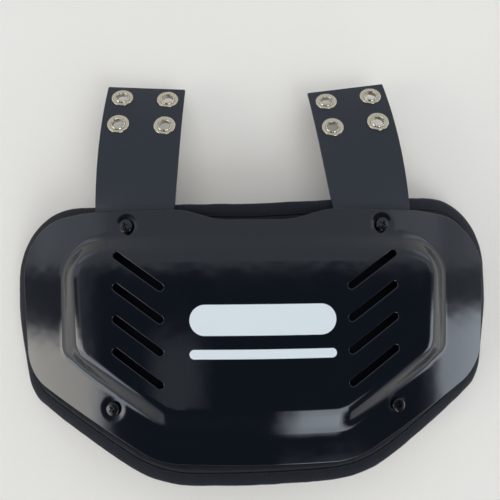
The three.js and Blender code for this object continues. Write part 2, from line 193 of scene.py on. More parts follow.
class StrapSizes(bpy.types.PropertyGroup):
    """The two straps"""

    width: length("Width", "Width of the webbing", 0.0605)
    thickness: length("Thickness", "Thickness of the webbing", 0.0022)
    tuck: length("Tuck", "How far a strap runs on under the shell past its screw", 0.016)
    covered: length("Covered", "From the screw to where the strap leaves the shell", 0.0135)
    reach: length("Reach", "Length of a strap outside the shell", 0.107)
    inboard: length("Inboard", "How far a strap's middle lies inboard of its screw", 0.003)
    lean_left: angle("Left lean", "Lean of the left strap", 2.3)
    lean_right: angle("Right lean", "Lean of the right strap", 6.8)
    start_slope: angle("Start slope", "Slope where a strap leaves the shell", 10)
    end_slope: angle("End slope", "Slope at a strap's end", 32.5)
    bend: FloatProperty(
        name="Bend", description="How late along a strap its slope grows", default=1.2, subtype="FACTOR"
    )
    levelling: FloatProperty(
        name="Levelling",
        description="How early along a strap it loses the wrap's tilt",
        default=3.0,
        subtype="FACTOR",
    )
    rib: length("Rib", "Distance from rib to rib in the webbing", 0.0013)


class EyeletSizes(bpy.types.PropertyGroup):
    """The eyelets, two rows of two near the end of each strap"""

    outer: length("Outer width", "Width over the rim", 0.0166)
    hole: length("Hole", "Width of the hole", 0.0086)
    barrel: length("Barrel", "Width of the barrel through the strap", 0.0112)
    rim: length("Rim", "Height of the rim over the strap", 0.0013)
    back: length("Back", "Width of the washer under the strap", 0.015)
    spacing: length("Spacing", "Distance between the eyelets of a row", 0.035)
    row_gap: length("Row gap", "Distance between the rows", 0.0262)
    end_gap: length("End gap", "From the strap's end to the first row", 0.0125)


class ScrewSizes(bpy.types.PropertyGroup):
    """The screws and the shallow dimples that they sit in"""

    head: length("Head width", "Width of the head", 0.010)
    head_height: length("Head height", "Height of the head", 0.0024)
    shank: length("Shank", "Width of the shank", 0.0044)
    shank_length: length("Shank length", "Length of the shank", 0.009)
    recess: length("Recess", "Width over the cross recess", 0.0054)
    recess_bar: length("Recess bar", "Width of a bar of the cross recess", 0.0013)
    dimple: length("Dimple width", "Width of a dimple", 0.020)
    dimple_depth: length("Dimple depth", "Depth of a dimple", 0.001)
    upper_x: length("Upper across", "Upper screws from the plate's middle", 0.0915)
    upper_y: length("Upper up", "Upper screws above the plate's origin", 0.0833)
    lower_x: length("Lower across", "Lower screws from the plate's middle", 0.101)
    lower_y: length("Lower up", "Lower screws above the plate's origin", -0.0455)


class PlateColours(bpy.types.PropertyGroup):
    """The colours of the plate's materials"""

    plastic: colour("Plastic", "Moulded shell", "050a12")
    ink: colour("Ink", "Printed bars", "dfe3e2")
    cover: colour("Cover", "Woven cover of the pad", "0d1016")
    tape: colour("Tape", "Binding tape", "0f1219")
    webbing: colour("Webbing", "Coated webbing of the straps", "1d2128")
    thread: colour("Thread", "Sewing thread", "07080b")
    nickel: colour("Nickel", "Plated eyelets", "d2c7b0")
    screw: colour("Screw", "Black screws", "040506")
    table: colour("Table", "Table top", "f3ebdf")


class BackPlate(bpy.types.PropertyGroup):
    """All the settings of the back plate"""

    wrap: PointerProperty(type=WrapSizes)
    shell: PointerProperty(type=ShellSizes)
    vents: PointerProperty(type=VentSizes)
    pad: PointerProperty(type=PadSizes)
    straps: PointerProperty(type=StrapSizes)
    eyelets: PointerProperty(type=EyeletSizes)
    screws: PointerProperty(type=ScrewSizes)
    colours: PointerProperty(type=PlateColours)


def plate():
    return bpy.context.scene.back_plate


# Loops in plan, all anticlockwise


def unit(v):
    return v / np.linalg.norm(v, axis=-1, keepdims=True)


def rounded_corner(before, corner, after, radius):
    """An arc of a given radius in place of a corner."""
    back, ahead = unit(before - corner), unit(after - corner)
    half = acos(np.clip(back @ ahead, -1, 1)) / 2
    centre = corner + unit(back + ahead) * radius / sin(half)
    start = corner + back * radius / tan(half) - centre
    end = corner + ahead * radius / tan(half) - centre
    sweep = atan2(start[0] * end[1] - start[1] * end[0], start @ end)
    turn = np.linspace(0, sweep, max(4, int(abs(sweep) / radians(1.5))))[:, None]
    across = np.array([-start[1], start[0]])
    return centre + start * np.cos(turn) + across * np.sin(turn)


def lengths_along(line):
    """How far along a line each of its points lies."""
    return np.concatenate([[0], np.cumsum(np.linalg.norm(np.diff(line, axis=0), axis=1))])


def evenly(loop, spacing):
    """A loop's points again, all about one spacing apart."""
    closed = np.concatenate([loop, loop[:1]])
    along = lengths_along(closed)
    count = int(round(along[-1] / spacing))
    at = np.arange(count) * along[-1] / count
    return np.stack([np.interp(at, along, closed[:, i]) for i in (0, 1)], 1)


def outline(corners, width, bottom, top, spacing=0.0015):
    """The whole outline from the corners of its right half."""
    height = top - bottom
    spots = [np.array([c.across * width / 2, bottom + c.up * height]) for c in corners]
    right = [spots[:1]]
    for before, spot, after, corner in zip(spots, spots[1:], spots[2:], corners[1:]):
        right.append(rounded_corner(before, spot, after, corner.round * height))
    right = np.concatenate([*right, spots[-1:]])
    left = right[1:-1][::-1] * (-1, 1)
    return evenly(np.concatenate([right, left])[::-1], spacing)


def inward(loop):
    """The direction into a loop at each of its points."""
    along = unit(np.roll(loop, -1, 0) - np.roll(loop, 1, 0))
    return np.stack([-along[:, 1], along[:, 0]], 1)


def inset(loop, distance):
    return loop + inward(loop) * np.reshape(distance, (-1, 1))


def circle(centre, radius, spacing):
    turn = np.linspace(0, 2 * pi, max(12, int(2 * pi * radius / spacing)), endpoint=False)
    return np.array(centre) + radius * np.stack([np.cos(turn), np.sin(turn)], 1)


def gap_outside(points, loop):
    """How far each point lies outside a loop, and below zero inside it."""
    ends = np.roll(loop, -1, 0)
    edge = ends - loop
    rise = np.where(edge[:, 1] == 0, 1e-12, edge[:, 1])
    gaps = []
    for part in np.array_split(points, len(points) // 2000 + 1):
        away = part[:, None] - loop
        share = np.clip((away * edge).sum(2) / (edge**2).sum(1), 0, 1)
        near = np.sqrt(((away - share[..., None] * edge) ** 2).sum(2).min(1))
        y = part[:, None, 1]
        crossed = (loop[:, 1] > y) != (ends[:, 1] > y)
        at = loop[:, 0] + edge[:, 0] * (y - loop[:, 1]) / rise
        inside = (crossed & (part[:, None, 0] < at)).sum(1) % 2 == 1
        gaps.append(np.where(inside, -near, near))
    return np.concatenate(gaps)


def smooth(value, low, high):
    share = np.clip((value - low) / (high - low), 0, 1)
    return share * share * (3 - 2 * share)


# The wrapped surface


def wrap_normal(plan):
    """The direction off the wrapped surface at plan places."""
    w = plate().wrap
    x, y = plan.T
    return unit(np.stack([x / np.sqrt(w.radius**2 - x**2), y / w.lengthwise, np.ones_like(x)], 1))


def on_wrap(plan, lift):
    """Points at plan places, lifted off the flange's outer face along its normal."""
    w = plate().wrap
    x, y = plan.T
    z = np.sqrt(w.radius**2 - x**2) - w.radius - y**2 / (2 * w.lengthwise)
    lift = np.broadcast_to(lift, x.shape)[:, None]
    return np.array(w.crown) + np.stack([x, y, z], 1) + wrap_normal(plan) * lift


def place_frame(place, plan, lift, across=(1, 0)):
    """A matrix at a plan place: local Z off the surface and local X along a plan direction."""
    step = 1e-5
    spots = np.array([plan, np.add(plan, np.multiply(across, step))])
    here, aside = place(spots, lift)
    above = place(spots[:1], lift + step)[0]
    up = Vector(above - here).normalized()
    x = Vector(aside - here)
    x = (x - up * x.dot(up)).normalized()
    rows = Matrix((x, up.cross(x), up)).transposed().to_4x4()
    return Matrix.Translation(here) @ rows


def seated(points, seat):
    """A small part's points, put at its seat."""
    return points @ np.array(seat.to_3x3()).T + np.array(seat.translation)


# Meshes


def add_object(name, data):
    thing = bpy.data.objects.new(name, data)
    bpy.context.scene.collection.objects.link(thing)
    return thing


def add_piece(name, points, faces, material, nodes, normals=None, plan=None):
    """A smooth-shaded piece that rides on the plate and stands for CAD nodes."""
    mesh = bpy.data.meshes.new(name)
    mesh.from_pydata(np.asarray(points).tolist(), [], faces)
    mesh.polygons.foreach_set("use_smooth", [True] * len(mesh.polygons))
    corners = np.empty(len(mesh.loops), int)
    mesh.loops.foreach_get("vertex_index", corners)
    if plan is not None:
        layer = mesh.uv_layers.new(name="lay")
        layer.data.foreach_set("uv", np.asarray(plan)[corners].ravel())
    if normals is None:
        mesh.set_sharp_from_angle(angle=radians(40))
    else:
        mesh.normals_split_custom_set_from_vertices(np.asarray(normals).tolist())
    mesh.materials.append(material)
    piece = add_object(name, mesh)
    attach(piece, "root")
    if nodes:
        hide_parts(*nodes)
    return piece


def thinned(groups, spacings):
    """Points of all groups, without those that crowd a point of an earlier group."""
    kept = [groups[0]]
    for points, spacing in zip(groups[1:], spacings[1:]):
        before = np.concatenate(kept)
        tree = KDTree(len(before))
        for i, p in enumerate(before):
            tree.insert((*p, 0), i)
        tree.balance()
        far = [tree.find((*p, 0))[2] > spacing for p in points]
        kept.append(points[far])
    return kept


def hex_grid(low, high, spacing):
    """Points over a box in plan, each row half a step from the next."""
    xs = np.arange(low[0], high[0], spacing)
    ys = np.arange(low[1], high[1], spacing * 0.866)
    x, y = np.meshgrid(xs, ys)
    x[1::2] += spacing / 2
    return np.stack([x.ravel(), y.ravel()], 1)


def rolled_edge(lip, under_lip, wall):
    """Shift towards the edge, drop and turn of the rows from a sheet's face round to its back."""
    rows = [(lip * sin(t), lip * (1 - cos(t)), t) for t in np.radians([15, 30, 45, 60, 75, 90])]
    for t in np.radians([90, 120, 150, 180]):
        rows.append((lip - under_lip * (1 - sin(t)), wall - under_lip * (1 + cos(t)), t))
    return rows


def triangulated(plan, loops):
    """Triangles over plan points, which start with the points of loops whose edges are kept.

    Returns the points, the triangles, all anticlockwise, and the old numbers of each point.
    """
    edges = []
    first = 0
    for loop in loops:
        count = len(loop)
        edges += [(first + i, first + (i + 1) % count) for i in range(count)]
        first += count
    found = delaunay_2d_cdt([Vector(p) for p in plan], edges, [], 0, 1e-9)
    spots = np.array([tuple(p) for p in found[0]])
    triangles = np.array(found[2])
    a, b, c = (spots[triangles[:, i]] for i in range(3))
    turned = np.cross(b - a, c - a) < 0
    triangles[turned] = triangles[turned][:, ::-1]
    return spots, triangles, found[3]


def sheet_mesh(place, outer, holes, groups, spacings, wall, lip, under_lip):
    """A sheet of one thickness over a plan outline with holes, its edges rounded over.

    Returns points, faces, normals and plan places.
    """
    loops = [(outer, 1)] + [(hole, -1) for hole in holes]
    inner_loops = [inset(loop, way * lip) for loop, way in loops]
    found = thinned([np.concatenate(inner_loops), *groups], [0, *spacings])
    spots, triangles, origins = triangulated(np.concatenate(found), inner_loops)
    middles = spots[triangles].mean(1)
    keep = gap_outside(middles, inner_loops[0]) < 0
    for loop in inner_loops[1:]:
        near = np.linalg.norm(middles - loop.mean(0), axis=1) < np.ptp(loop, axis=0).max()
        keep[near] &= gap_outside(middles[near], loop) > 0
    triangles = triangles[keep]
    where = {old: new for new, olds in enumerate(origins) for old in olds}

    step = 1e-5
    count = len(spots)
    here = place(spots, 0.0)
    aside = place(spots + (step, 0), 0.0) - here
    ahead = place(spots + (0, step), 0.0) - here
    up = unit(np.cross(aside, ahead))
    points = [here, place(spots, -wall)]
    normals = [up, -up]
    plans = [spots, spots]
    faces = [tuple(t) for t in triangles] + [tuple(t[::-1] + count) for t in triangles]
    total = 2 * count
    first = 0
    for (loop, way), rim in zip(loops, inner_loops):
        number = len(rim)
        toward = -way * inward(loop)
        base = np.array([where[first + i] for i in range(number)])
        first += number
        side = place(rim + toward * step, 0.0) - place(rim, 0.0)
        side = unit(side - up[base] * (side * up[base]).sum(1, keepdims=True))
        ring = base
        for shift, drop, turn in rolled_edge(lip, under_lip, wall):
            points.append(place(rim + toward * shift, -drop))
            normals.append(up[base] * cos(turn) + side * sin(turn))
            plans.append(rim + toward * shift)
            following = np.arange(total, total + number)
            total += number
            faces += strip(ring, following, way)
            ring = following
        faces += strip(ring, base + count, way)
    return np.concatenate(points), faces, np.concatenate(normals), np.concatenate(plans)


def strip(ring, following, way):
    """Quads between two closed rows of points, facing out or in."""
    quads = zip(ring, following, np.roll(following, -1), np.roll(ring, -1))
    return [tuple(q) if way > 0 else tuple(q[::-1]) for q in quads]


def ring_faces(rows, count, closed_rows):
    """Quads between rows of points, where each row is a closed ring."""
    faces = []
    for i in range(rows if closed_rows else rows - 1):
        ring = np.arange(count) + i * count
        faces += strip(ring, np.arange(count) + (i + 1) % rows * count, 1)
    return faces


# Nodes


def add_node(tree, kind, inputs=None, **settings):
    """Adds a node, sets it up, and fills or links its inputs by name or number."""
    node = tree.nodes.new(kind)
    for key, value in settings.items():
        setattr(node, key, value)
    for key, value in (inputs or {}).items():
        if isinstance(value, bpy.types.NodeSocket):
            tree.links.new(value, node.inputs[key])
        else:
            node.inputs[key].default_value = value
    return node


def new_material(name, **sockets):
    """A material with one Principled shader, whose constants are set on its own sockets."""
    material = bpy.data.materials.new(name)
    material.use_nodes = True
    shader = material.node_tree.nodes["Principled BSDF"]
    for key, value in sockets.items():
        socket = shader.inputs[key.replace("_", " ")]
        socket.default_value = (*value, 1) if isinstance(value, tuple) else value
    return material, material.node_tree, shader


def spread(tree, value, low, high, to_low, to_high):
    """A value between two limits, spread over another range."""
    limits = {"Value": value, "From Min": low, "From Max": high, "To Min": to_low, "To Max": to_high}
    return add_node(tree, "ShaderNodeMapRange", limits).outputs[0]


def noise_at(tree, where, size, detail=2.0, roughness=0.5):
    """Noise whose blobs are about size metres wide."""
    settings = {"Vector": where, "Scale": 1 / size, "Detail": detail, "Roughness": roughness}
    return add_node(tree, "ShaderNodeTexNoise", settings).outputs["Fac"]


def add_bump(tree, shader, height, depth, strength=1.0):
    """Bump whose full height is depth metres."""
    bump = {"Height": height, "Distance": depth, "Strength": strength}
    tree.links.new(add_node(tree, "ShaderNodeBump", bump).outputs[0], shader.inputs["Normal"])


def calc(tree, operation, *values):
    return add_node(tree, "ShaderNodeMath", dict(enumerate(values)), operation=operation).outputs[0]


def object_place(tree):
    return add_node(tree, "ShaderNodeTexCoord").outputs["Object"]


def tinted(tree, factor, low, high):
    """A colour between two, by a factor."""
    ends = {i: c if isinstance(c, bpy.types.NodeSocket) else (*c, 1) for i, c in ((6, low), (7, high))}
    return add_node(tree, "ShaderNodeMix", {0: factor, **ends}, data_type="RGBA").outputs[2]


def scaled(colour, factor):
    return tuple(v * factor for v in colour)


# Materials


def moulded_polyethylene():
    """Polyethylene, thermoformed: a near-black glossy skin that is a little wavy and rubbed."""
    tone = plate().colours
    material, tree, shader = new_material("thermoformed_polyethylene", IOR=1.5, Specular_IOR_Level=0.5)
    where = object_place(tree)
    smear = noise_at(tree, where, 0.035, 4.0, 0.6)
    tree.links.new(spread(tree, smear, 0.35, 0.7, 0.06, 0.12), shader.inputs["Roughness"])
    printed = printed_bars(tree, where)
    tree.links.new(tinted(tree, printed, tone.plastic, tone.ink), shader.inputs["Base Color"])
    waves = noise_at(tree, where, 0.016, 1.0)
    fine = noise_at(tree, where, 0.0022, 2.0)
    height = calc(tree, "ADD", waves, calc(tree, "MULTIPLY", fine, 0.05))
    add_bump(tree, shader, height, 0.00012)
    return material


Bar = namedtuple("Bar", "up half_height")

BARS = (Bar(0.0175, 0.0105), Bar(-0.0055, 0.0032))
BARS_ACROSS = 0.0045
BARS_HALF_WIDTH = 0.050
INK_EDGE = 0.0001


def printed_bars(tree, where):
    """1 inside two plain round-ended bars in the middle of the panel, 0 outside."""
    crown = plate().wrap.crown
    parts = add_node(tree, "ShaderNodeSeparateXYZ", {0: where})
    bars = []
    for bar in BARS:
        straight = BARS_HALF_WIDTH - bar.half_height
        x = calc(tree, "SUBTRACT", parts.outputs[0], crown[0] + BARS_ACROSS)
        y = calc(tree, "SUBTRACT", parts.outputs[1], crown[1] + bar.up)
        beyond = calc(tree, "MAXIMUM", calc(tree, "SUBTRACT", calc(tree, "ABSOLUTE", x), straight), 0.0)
        squares = [calc(tree, "POWER", side, 2.0) for side in (beyond, y)]
        away = calc(tree, "SQRT", calc(tree, "ADD", *squares))
        low, high = bar.half_height - INK_EDGE, bar.half_height + INK_EDGE
        bars.append(spread(tree, away, low, high, 1.0, 0.0))
    return calc(tree, "MAXIMUM", *bars)


def woven_polyester():
    """Polyester pad cover, plain woven: matt, with a fine grid of threads and a faint sheen."""
    tone = plate().colours.cover
    material, tree, shader = new_material(
        "woven_polyester_cover", IOR=1.5, Specular_IOR_Level=0.2, Roughness=0.8,
        Sheen_Weight=0.08, Sheen_Roughness=0.4,
    )
    where = object_place(tree)
    patches = noise_at(tree, where, 0.02, 4.0)
    tree.links.new(tinted(tree, patches, scaled(tone, 0.75), scaled(tone, 1.3)), shader.inputs["Base Color"])
    # Threads are 0.4 mm apart, drawn at 0.8 mm because finer ones don't show.
    parts = add_node(tree, "ShaderNodeSeparateXYZ", {0: where})
    threads = [
        calc(tree, "SINE", calc(tree, "MULTIPLY", parts.outputs[i], 2 * pi / 0.0008)) for i in (0, 1)
    ]
    weave = calc(tree, "MULTIPLY", *threads)
    add_bump(tree, shader, calc(tree, "ADD", weave, noise_at(tree, where, 0.006, 3.0)), 0.00012, 0.8)
    return material


def grosgrain_tape():
    """Polyester binding tape, ribbed across: satin, a little lighter along its fold."""
    tone = plate().colours.tape
    material, tree, shader = new_material(
        "grosgrain_tape", IOR=1.5, Specular_IOR_Level=0.25, Roughness=0.66,
        Sheen_Weight=0.1, Sheen_Roughness=0.35,
    )
    lay = add_node(tree, "ShaderNodeUVMap", uv_map="lay").outputs[0]
    parts = add_node(tree, "ShaderNodeSeparateXYZ", {0: lay})
    where = object_place(tree)
    patches = noise_at(tree, where, 0.012, 4.0)
    tree.links.new(tinted(tree, patches, scaled(tone, 0.75), scaled(tone, 1.35)), shader.inputs["Base Color"])
    # Ribs are 0.5 mm apart, drawn at 1 mm because finer ones don't show.
    ribs = calc(tree, "SINE", calc(tree, "MULTIPLY", parts.outputs[0], 2 * pi / 0.001))
    add_bump(tree, shader, calc(tree, "ADD", ribs, noise_at(tree, where, 0.004, 3.0)), 0.0001, 0.8)
    return material


def coated_webbing():
    """Nylon webbing, coated: satin dark grey, with fine ribs that run along the strap."""
    p = plate()
    tone = p.colours.webbing
    material, tree, shader = new_material("coated_webbing", IOR=1.5, Specular_IOR_Level=0.4)
    lay = add_node(tree, "ShaderNodeUVMap", uv_map="lay").outputs[0]
    parts = add_node(tree, "ShaderNodeSeparateXYZ", {0: lay})
    where = object_place(tree)
    patches = noise_at(tree, where, 0.03, 4.0)
    tree.links.new(tinted(tree, patches, scaled(tone, 0.8), scaled(tone, 1.2)), shader.inputs["Base Color"])
    tree.links.new(spread(tree, patches, 0.3, 0.7, 0.42, 0.54), shader.inputs["Roughness"])
    ribs = calc(tree, "SINE", calc(tree, "MULTIPLY", parts.outputs[0], 2 * pi / p.straps.rib))
    grain = noise_at(tree, where, 0.0012, 2.0)
    add_bump(tree, shader, calc(tree, "ADD", ribs, grain), 0.00005, 0.7)
    return material


def sewing_thread():
    """Bonded nylon thread: black, with a dull shine."""
    tone = plate().colours.thread
    material, tree, shader = new_material("bonded_nylon_thread", IOR=1.5, Roughness=0.5)
    fuzz = noise_at(tree, object_place(tree), 0.0006, 2.0)
    tree.links.new(tinted(tree, fuzz, scaled(tone, 0.7), scaled(tone, 1.6)), shader.inputs["Base Color"])
    return material


def nickel_plate():
    """Nickel plated brass, pressed: bright and warm, slightly dulled and scuffed."""
    tone = plate().colours.nickel
    material, tree, shader = new_material("nickel_plated_brass", Metallic=1.0)
    where = object_place(tree)
    dull = noise_at(tree, where, 0.003, 4.0, 0.6)
    tree.links.new(tinted(tree, dull, scaled(tone, 0.8), tone), shader.inputs["Base Color"])
    tree.links.new(spread(tree, dull, 0.3, 0.7, 0.16, 0.34), shader.inputs["Roughness"])
    add_bump(tree, shader, noise_at(tree, where, 0.0009, 3.0), 0.00003, 0.8)
    return material


def black_steel():
    """Steel screw, blackened and lacquered: glossy black, rubbed in random patches."""
    tone = plate().colours.screw
    material, tree, shader = new_material("blackened_steel", IOR=1.5)
    worn = noise_at(tree, object_place(tree), 0.0015, 3.0)
    tree.links.new(spread(tree, worn, 0.3, 0.7, 0.1, 0.2), shader.inputs["Roughness"])
    tree.links.new(tinted(tree, worn, scaled(tone, 0.7), scaled(tone, 1.6)), shader.inputs["Base Color"])
    return material


def painted_board():
    """Painted board, rolled: a pale satin table top with a few faint marks."""
    tone = plate().colours.table
    material, tree, shader = new_material("painted_board", IOR=1.5, Roughness=0.55)
    where = object_place(tree)
    clouds = noise_at(tree, where, 0.25, 3.0)
    tree.links.new(tinted(tree, clouds, scaled(tone, 0.97), scaled(tone, 1.02)), shader.inputs["Base Color"])
    add_bump(tree, shader, noise_at(tree, where, 0.002, 3.0), 0.00005, 0.4)
    return material


# The shell


def bent_ramp(t, width):
    """t where it is above 0, with the bend at 0 spread over a width."""
    return np.where(t >= width / 2, t, np.clip(t + width / 2, 0, None) ** 2 / (2 * width))


def screw_spots():
    """Each screw's place in plan, by its node."""
    s = plate().screws
    return {
        "screw_upper_left": (-s.upper_x, s.upper_y),
        "screw_upper_right": (s.upper_x, s.upper_y),
        "screw_lower_left": (-s.lower_x, s.lower_y),
        "screw_lower_right": (s.lower_x, s.lower_y),
    }


def shell_edge():
    """The shell's outline, trimmed a little wider at one side so that it hides the binding."""
    s = plate().shell
    loop = outline(SHELL_CORNERS, s.width, s.bottom, s.top)
    x, y = loop.T
    # It fades out towards the plate's middle and towards the lower and the upper corner.
    level = smooth(y, -0.045, -0.005) * (1 - smooth(y, 0.05, 0.085))
    return loop + np.outer(s.wide_trim * smooth(x, 0.13, 0.172) * level, (1, 0))


def shell_loops():
    s = plate().shell
    return (
        shell_edge(),
        outline(PANEL_CORNERS, s.panel_width, s.panel_bottom, s.panel_top),
        outline(FOOT_CORNERS, s.foot_width, s.foot_bottom, s.foot_top),
    )


def shell_relief(plan, panel, foot):
    """Height of the shell's outer face over the wrap."""
    s = plate().shell
    screws = plate().screws
    beyond = gap_outside(plan, panel)
    width = beyond - gap_outside(plan, foot)
    spare = np.clip(width - s.narrow_step, 0, s.spare_step)
    # Where the step is narrow, its bends run on over the panel and the flange.
    spread_out = s.soft_bend * (1 - spare / s.spare_step)
    t = (beyond + spread_out) / (width + 2 * spread_out)
    bend = (s.bend + s.bend_growth * spare) / (width + 2 * spread_out)
    fall = bent_ramp(t - bend / 2, bend) - bent_ramp(t - 1 + bend / 2, bend)
    fall = fall / (1 - bend)
    out = np.clip(np.abs(plan[:, 0]) / (s.panel_width / 2), 0, 1)
    lift = (s.panel_rise + (s.panel_side_rise - s.panel_rise) * out**2) * (1 - fall)
    for spot in screw_spots().values():
        share = np.linalg.norm(plan - spot, axis=1) / (screws.dimple / 2)
        lift = lift - screws.dimple_depth * np.clip(1 - share**2, 0, None) ** 2
    return lift


def vent_loops():
    """The vents' outlines in plan, which the wrap's tilt makes narrower."""
    v = plate().vents
    loops = []
    for side in (-1, 1):
        for i in range(v.count):
            turn = v.slant if side > 0 else pi - v.slant
            along = np.array([cos(turn), sin(turn)])
            aside = np.array([-along[1], along[0]])
            start = np.array([side * v.inner_x, v.inner_y + i * v.pitch])
            centre = start + along * v.span / 2
            arc = np.linspace(-pi / 2, pi / 2, 12)[:, None]
            end = along * np.cos(arc) + aside * np.sin(arc)
            round_end = end * v.width / 2 + along * v.span / 2
            shape = np.concatenate([round_end, -round_end])
            lean = wrap_normal(centre[None])[0, 2]
            loops.append(evenly(centre + shape * (lean, 1), 0.0009))
    return loops


def matched(loop, bearings, middle):
    """Points of a loop at the given bearings from a middle."""
    away = loop - middle
    angles = np.arctan2(away[:, 1], away[:, 0])
    order = np.argsort(angles)
    reach = np.interp(bearings, angles[order], np.linalg.norm(away, axis=1)[order], period=2 * pi)
    return middle + reach[:, None] * np.stack([np.cos(bearings), np.sin(bearings)], 1)


# Radius of the shell's edges on its hidden side
UNDER_ROUND = 0.0008


class PLATE_OT_shell(bpy.types.Operator):
    """Adds the moulded shell with its raised panel, vents and dimples"""

    bl_idname = "back_plate.shell"
    bl_label = "Shell"

    def execute(self, context):
        s, screws = plate().shell, plate().screws
        edge, panel, foot = shell_loops()
        vents = vent_loops()

        def place(plan, lift):
            return on_wrap(plan, shell_relief(plan, panel, foot) + lift)

        # Points lie closer on the step, in the dimples and along the vents and the edge.
        middle = np.array([0, (s.panel_top + s.panel_bottom) / 2])
        away = foot - middle
        bearings = np.arctan2(away[:, 1], away[:, 0])
        brow, toe = (matched(loop, bearings, middle) for loop in (panel, foot))
        shares = [*np.arange(-0.6, 1.6, 0.08)]
        step = np.concatenate([brow + (toe - brow) * share for share in shares])
        dips = np.concatenate([
            circle(spot, radius, 0.0018)
            for spot in screw_spots().values()
            for radius in np.arange(0.001, screws.dimple / 2 + 0.003, 0.0012)
        ])
        lips = np.concatenate([inset(v, -d) for v in vents for d in (0.0012, 0.0022, 0.0036)])
        rims = np.concatenate([inset(edge, d) for d in (0.0025, 0.0045)])
        grid = hex_grid((-0.19, -0.09), (0.19, 0.1), 0.0036)
        groups = [lips, dips, step, rims, grid]
        bounded = []
        for points in groups:
            inside = gap_outside(points, inset(edge, s.edge_round)) < -0.0006
            for vent in vents:
                near = np.linalg.norm(points - vent.mean(0), axis=1) < 0.03
                inside[near] &= gap_outside(points[near], vent) > 0.0008
            bounded.append(points[inside])
        spacings = [0.0004, 0.0007, 0.0006, 0.0012, 0.0022]
        points, faces, normals, plan = sheet_mesh(
            place, edge, vents, bounded, spacings, s.wall, s.edge_round, UNDER_ROUND
        )
        add_piece("moulded_shell", points, faces, moulded_polyethylene(), ["shell"], normals, plan)
        return {"FINISHED"}


# Straps


def strap_facts(side):
    """A strap's direction in plan, its way across, and the place of its screw end."""
    s = plate().straps
    lean = s.lean_left if side < 0 else s.lean_right
    ahead = np.array([-side * sin(lean), cos(lean)])
    across = np.array([ahead[1], -ahead[0]])
    base = np.array([side * (plate().screws.upper_x - s.inboard), plate().screws.upper_y])
    return ahead, across, base


def strap_path(along):
    """Run, drop and slope of a strap's middle line at distances past the shell's edge."""
    s = plate().straps
    fine = np.linspace(0, s.reach * 1.05, 600)
    slope = s.start_slope + (s.end_slope - s.start_slope) * (fine / s.reach) ** s.bend
    slope = slope * smooth(fine, -0.004, 0.007)
    step = fine[1]
    run = np.concatenate([[0], np.cumsum(np.cos(slope[:-1]) * step)])
    drop = np.concatenate([[0], np.cumsum(np.sin(slope[:-1]) * step)])
    return [np.interp(along, fine, v) for v in (run, drop, slope)]


def strap_face():
    """Height of a strap's upper face over the wrap, where it lies under the shell."""
    return -(plate().shell.wall + 2 * plate().wrap.fit_gap)


def strap_place(side):
    """A function that puts (across, along) places of a strap in space."""
    s = plate().straps
    ahead, sideways, base = strap_facts(side)
    face = strap_face()

    def place(lay, lift):
        across, along = lay[:, :1], lay[:, 1]
        spine = base + ahead * (s.covered + np.minimum(along, 0))[:, None]
        flat = on_wrap(spine + sideways * across, face + lift)
        beyond = np.maximum(along, 0)
        level = (1 - np.clip(1 - beyond / s.reach, 0, 1) ** s.levelling)[:, None]
        start = on_wrap(spine, face)
        wide = np.append(sideways, 0)
        bow = (on_wrap(spine + sideways * across, face) - start) * (1 - level) + wide * across * level
        up = wrap_normal(spine)
        tilt = unit(wide - up * (up @ wide)[:, None]) * (1 - level) + wide * level
        run, drop, slope = strap_path(beyond)
        way = np.append(ahead, 0) * np.cos(slope)[:, None] - np.array([0, 0, 1]) * np.sin(slope)[:, None]
        off = unit(np.cross(tilt, way)) * np.broadcast_to(lift, along.shape)[:, None]
        hung = start + bow + np.append(ahead, 0) * run[:, None] - np.array([0, 0, 1]) * drop[:, None] + off
        return np.where((along <= 0)[:, None], flat, hung)

    return place


def eyelet_spots():
    """Each eyelet's place on a strap: across and along."""
    e, s = plate().eyelets, plate().straps
    rows = (s.reach - e.end_gap, s.reach - e.end_gap - e.row_gap)
    return [(way * e.spacing / 2, along) for along in rows for way in (-1, 1)]


SIDES = (("left", -1), ("right", 1))


class PLATE_OT_straps(bpy.types.Operator):
    """Adds the two straps, which leave the shell's upper edge and bend down"""

    bl_idname = "back_plate.straps"
    bl_label = "Straps"

    def execute(self, context):
        s, e = plate().straps, plate().eyelets
        half, start, end, corner = s.width / 2, -(s.tuck + s.covered), s.reach, 0.0008
        box = np.array([(-half, start), (half, start), (half, end), (-half, end)])
        turns = [
            rounded_corner(np.roll(box, 1, 0)[i], box[i], np.roll(box, -1, 0)[i], corner) for i in range(4)
        ]
        outer = evenly(np.concatenate(turns), 0.001)
        holes = [circle(spot, e.barrel / 2 + 0.0002, 0.0008) for spot in eyelet_spots()]
        grid = hex_grid((-half, start), (half, end), 0.0025)
        inside = gap_outside(grid, outer) < -0.0012
        for hole in holes:
            inside &= gap_outside(grid, hole) > 0.0012
        webbing = coated_webbing()
        for name, side in SIDES:
            points, faces, normals, lay = sheet_mesh(
                strap_place(side), outer, holes, [grid[inside]], [0.001], s.thickness, 0.0006, 0.0006
            )
            add_piece(f"webbing_{name}", points, faces, webbing, [f"strap_{name}"], normals, lay)
        return {"FINISHED"}


